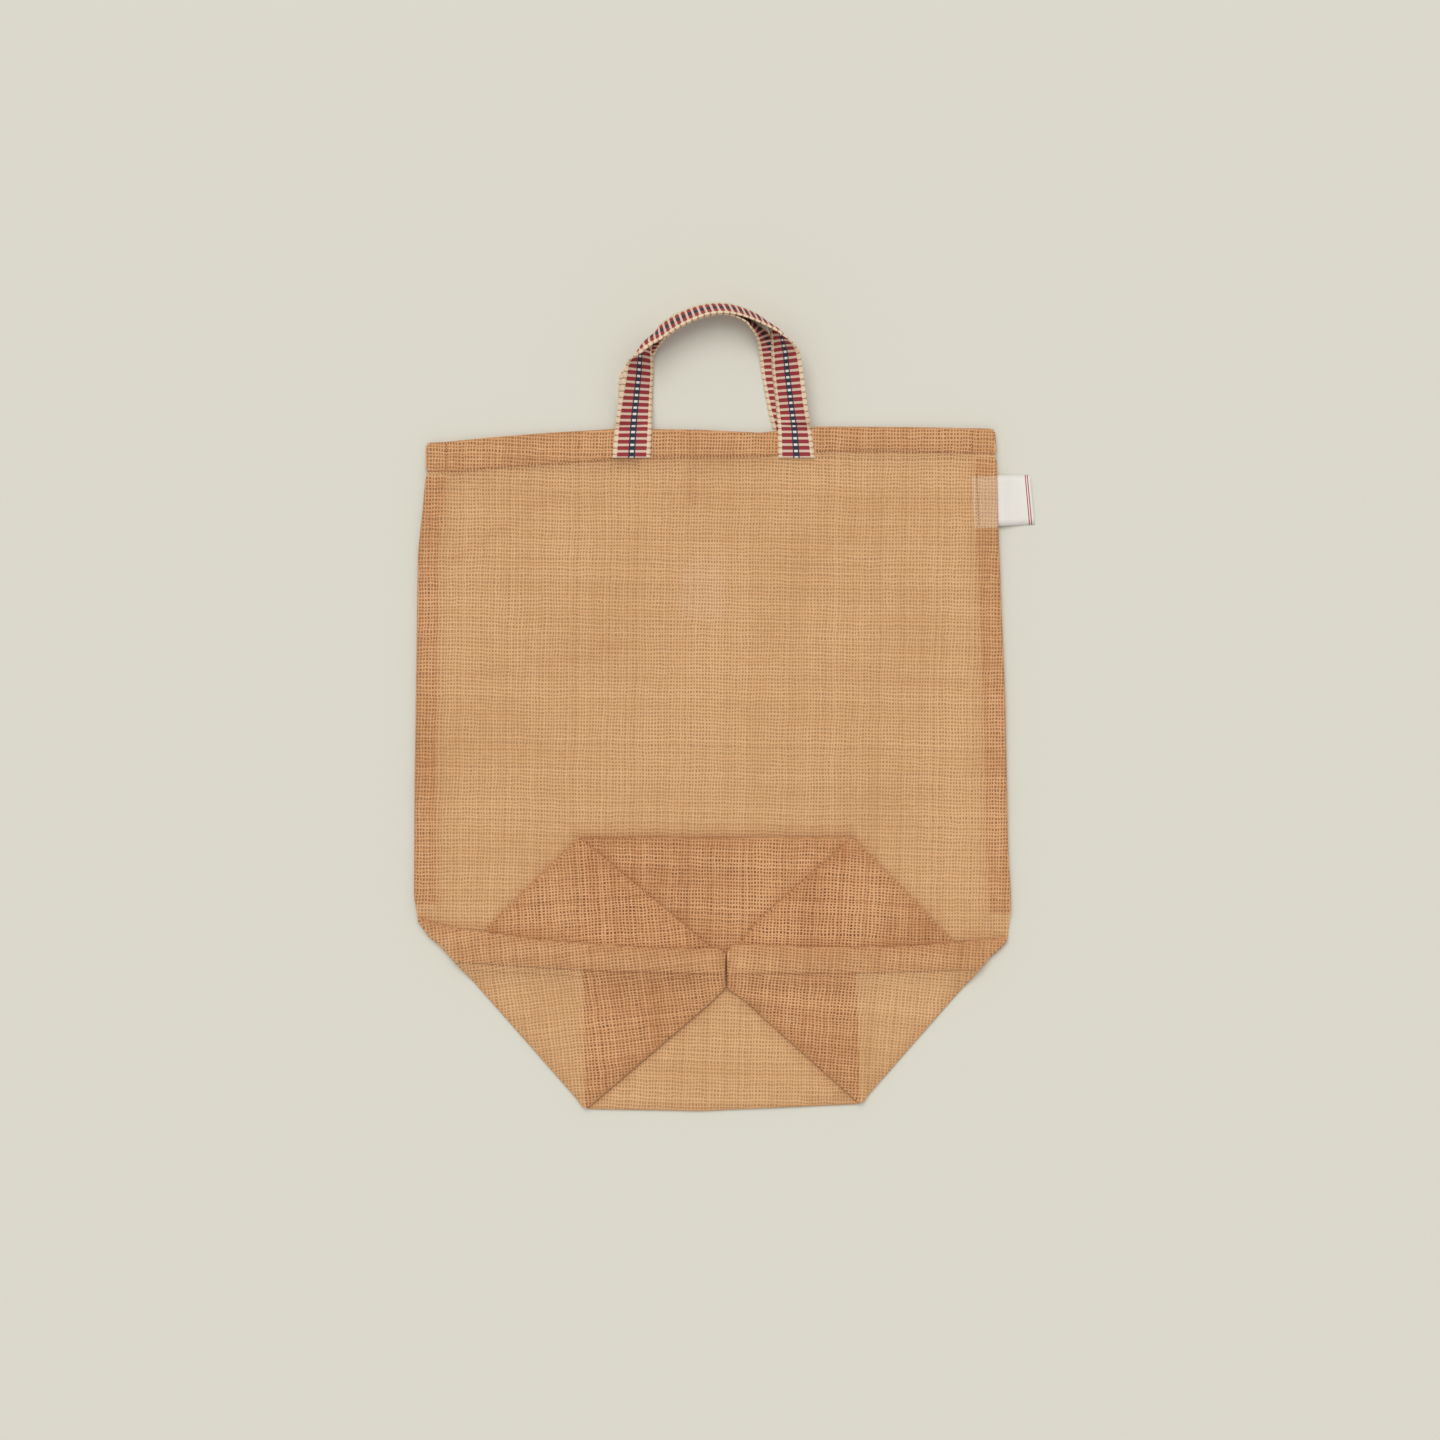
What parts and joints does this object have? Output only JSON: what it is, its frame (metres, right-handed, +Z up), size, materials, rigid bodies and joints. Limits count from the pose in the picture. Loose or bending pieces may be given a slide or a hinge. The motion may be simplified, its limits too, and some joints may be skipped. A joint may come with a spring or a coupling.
{
  "type": "produce bag",
  "caption": "Sheer woven cloth produce bag lying flat, square base folded up on its front, hemmed mouth, flanged side seams and woven tape handles.",
  "frame": {"origin": "centre of the footprint, on the surface that the bag lies on", "axes": "+Z up through the thickness of the lying bag, +Y from the folded base towards the mouth and handles, +X towards the side with the label"},
  "size_m": [0.3727, 0.4864, 0.0233],
  "materials": {
    "sheer_cloth": "open plain weave, matt, see-through in one layer",
    "tape": "woven cotton tape with crosswise bars and a dark middle line",
    "satin": "off-white satin ribbon, slightly glossy"
  },
  "bodies": {
    "root": {"bag_cloth": "sheer_cloth", "handle_front": "tape", "handle_back": "tape", "side_label": "satin"}
  },
  "joints": []
}
